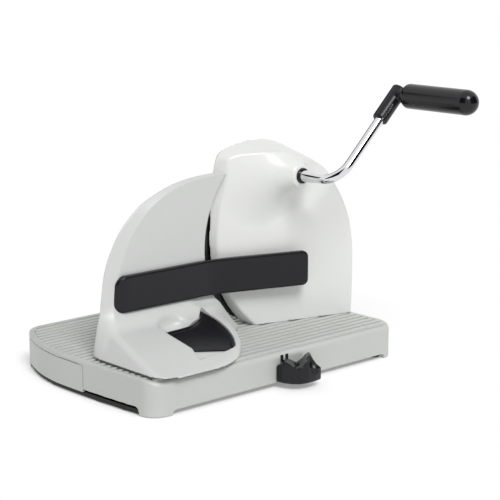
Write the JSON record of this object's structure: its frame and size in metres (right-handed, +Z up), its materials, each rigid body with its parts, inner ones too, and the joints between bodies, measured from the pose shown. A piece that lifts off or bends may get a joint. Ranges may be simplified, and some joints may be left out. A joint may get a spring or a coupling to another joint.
{
  "type": "hand cranked bread slicer",
  "caption": "White hand cranked slicer: ribbed base with crumb drawer, geared housing with a chromed crank, round blade, sail shaped guide plate and suction lock.",
  "frame": {"origin": "centre of the base's footprint, on the surface that the feet stand on", "axes": "+X to the right along the base's long side, +Y from the crank side to the loaf side, +Z up"},
  "size_m": [0.3345, 0.34, 0.2847],
  "materials": {
    "white_shell": "satin moulded white",
    "black_shell": "fine moulded grain",
    "black_acetal": "smooth, low friction",
    "gloss_black": "polished moulding",
    "mark_black": "raised marks",
    "soft_rubber": "soft, matt",
    "chromed_rod": "bright plated",
    "blade_steel": "ground in circles",
    "frame_steel": "stamped sheet",
    "turned_steel": "turned",
    "screw_steel": "zinc plated",
    "gear_nylon": "natural moulding"
  },
  "bodies": {
    "base": {"base_shell": "white_shell", "bottom_plate": "black_shell", "rubber_feet": "soft_rubber", "base_screws": "screw_steel", "housing_shell": "white_shell", "back_cover": "black_shell", "housing_screws": "screw_steel", "frame_screws": "screw_steel", "cover_screws": "screw_steel", "gear_frame": "frame_steel", "crank_bush": "gloss_black", "blade_axle": "turned_steel", "axle_clip": "frame_steel", "knob_marks": "mark_black"},
    "drawer": {"drawer_front": "white_shell", "drawer_tray": "white_shell"},
    "guide": {"guide_plate": "white_shell", "lever_pin": "turned_steel", "slice_bar": "gloss_black", "bar_screws": "screw_steel", "guide_runner": "black_acetal", "runner_screws": "screw_steel"},
    "lever": {"lock_lever": "gloss_black"},
    "crank": {"crank_rod": "chromed_rod", "crank_gear": "turned_steel", "grip_socket": "gloss_black", "grip_pin": "turned_steel"},
    "grip": {"grip": "gloss_black"},
    "blade": {"blade": "blade_steel", "blade_gear": "gear_nylon", "blade_cap": "gloss_black", "blade_screws": "screw_steel"},
    "knob": {"suction_knob": "gloss_black", "cam_shaft": "black_acetal"},
    "cup": {"cup_yoke": "black_acetal", "suction_cup": "soft_rubber"}
  },
  "joints": [
    {"name": "drawer_slide", "type": "slide", "parent": "base", "child": "drawer", "axis": [-1, 0, 0], "range_m": [0, 0.08]},
    {"name": "guide_slide", "type": "slide", "parent": "base", "child": "guide", "axis": [0, 1, 0], "range_m": [-0.01, 0.008]},
    {"name": "lever_pivot", "type": "hinge", "parent": "guide", "child": "lever", "pos_m": [-0.1, -0.0525, 0.0578], "axis": [0, -0.2874, 0.9578], "range_deg": [-8, 0]},
    {"name": "crank_spin", "type": "hinge", "parent": "base", "child": "crank", "pos_m": [0.075, 0, 0.193], "axis": [0, 1, 0], "continuous": true},
    {"name": "grip_spin", "type": "hinge", "parent": "crank", "child": "grip", "pos_m": [0.15701, -0.1185, 0.27219], "axis": [0, 1, 0], "continuous": true},
    {"name": "blade_spin", "type": "hinge", "parent": "base", "child": "blade", "pos_m": [0.075, 0, 0.118], "axis": [0, 1, 0], "continuous": true},
    {"name": "knob_turn", "type": "hinge", "parent": "base", "child": "knob", "pos_m": [0.012, -0.1185, 0.0195], "axis": [0, -1, 0], "range_deg": [0, 90]},
    {"name": "cup_lift", "type": "slide", "parent": "base", "child": "cup", "axis": [0, 0, 1], "range_m": [0, 0.0035]}
  ],
  "couplings": [
    {"joint": "blade_spin", "follows": "crank_spin", "ratio": -0.38889},
    {"joint": "cup_lift", "follows": "knob_turn", "m_per_rad": 0.0022282}
  ]
}
